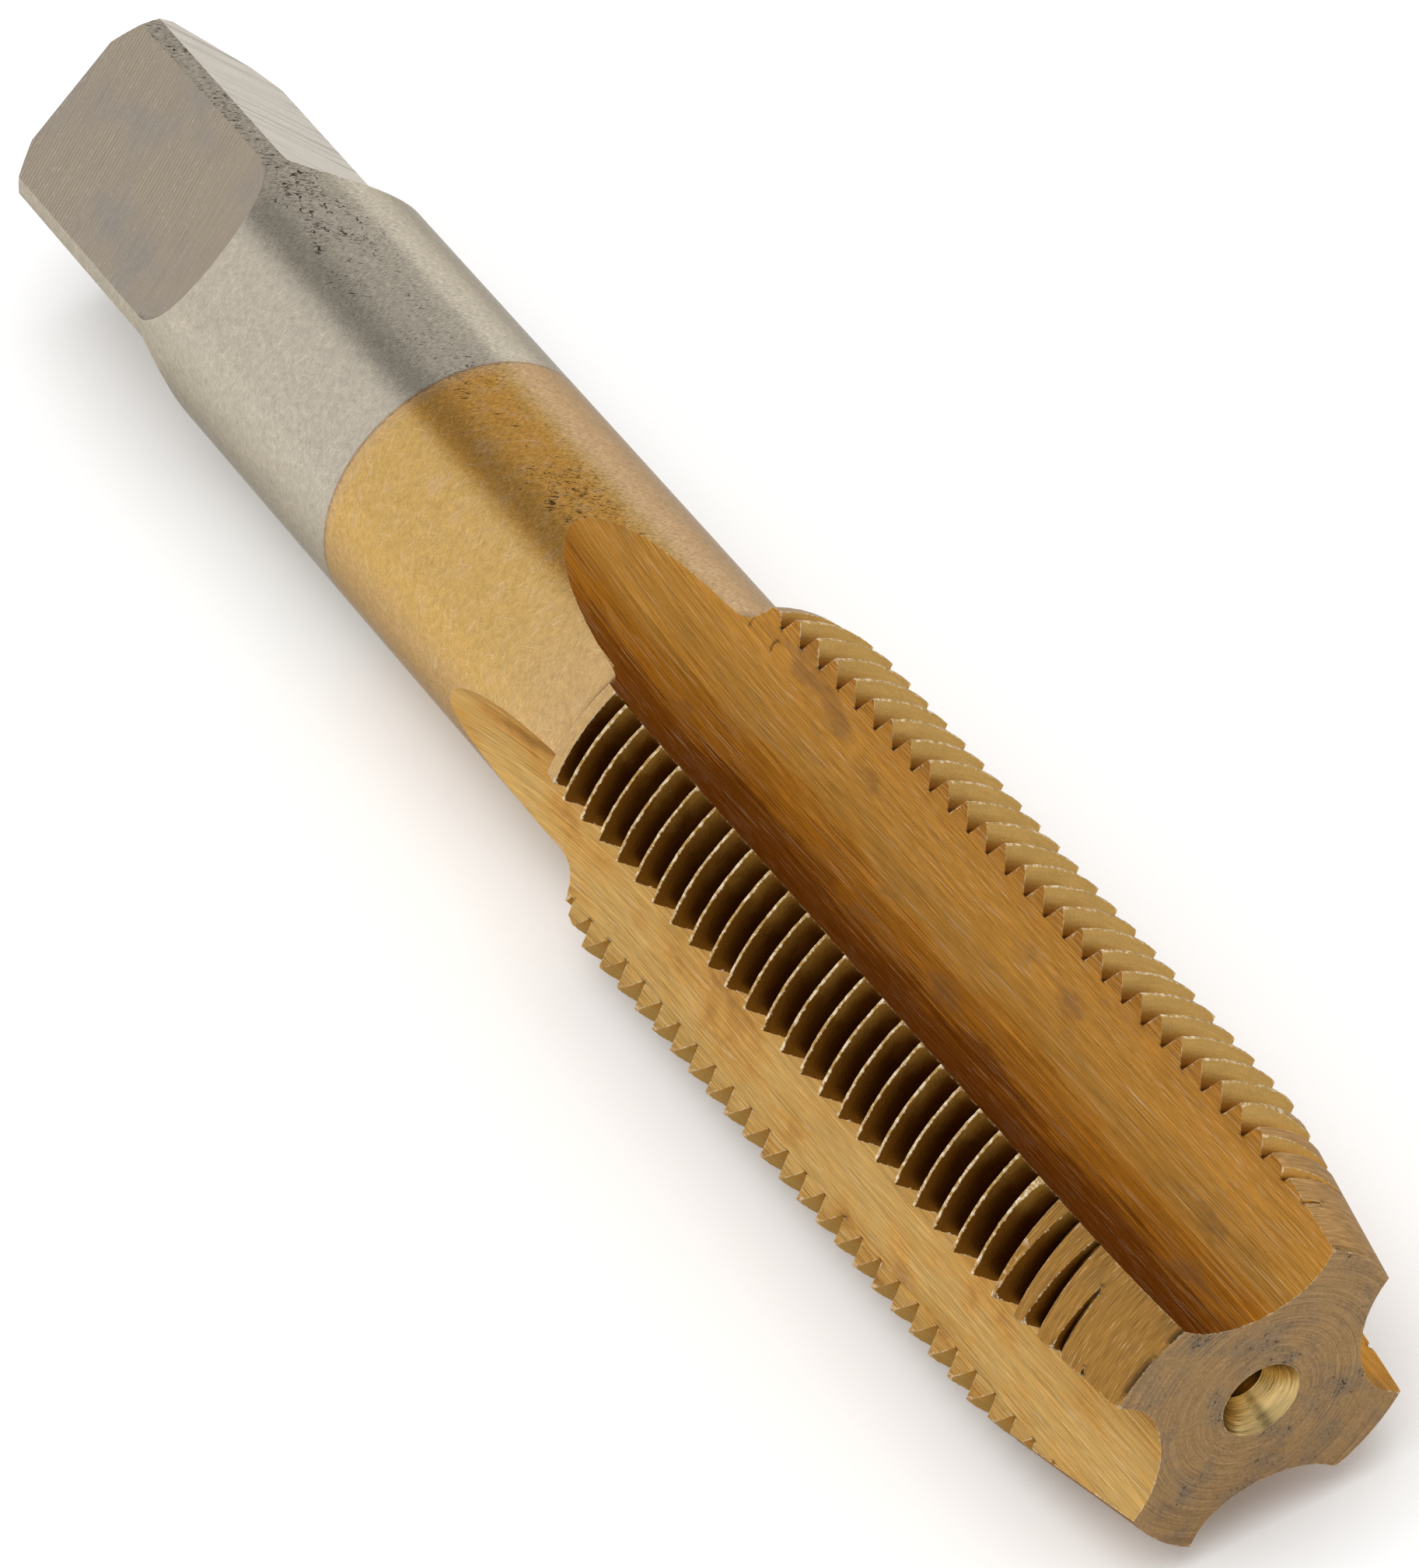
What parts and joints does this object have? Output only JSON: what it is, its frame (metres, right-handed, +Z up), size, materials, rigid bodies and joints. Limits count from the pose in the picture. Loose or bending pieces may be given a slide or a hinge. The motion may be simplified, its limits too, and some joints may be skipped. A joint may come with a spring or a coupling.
{
  "type": "thread tap",
  "caption": "Straight-fluted hand tap with a right-hand cutting thread, tapered lead, plain shank and square drive end, lying on its side.",
  "frame": {"origin": "middle of the tap's length and width, on the surface that it lies on", "axes": "+X from the square drive towards the nose, +Z up, +Y across; one flute faces straight up and one straight down"},
  "size_m": [0.0956, 0.0158, 0.0159],
  "materials": {
    "tap_body": "ground high-speed steel with a gold titanium nitride coating on the thread, flutes and front of the shank; the rear of the shank and the square are bare grey steel"
  },
  "bodies": {
    "root": {"tap_body": "tap_body"}
  },
  "joints": []
}
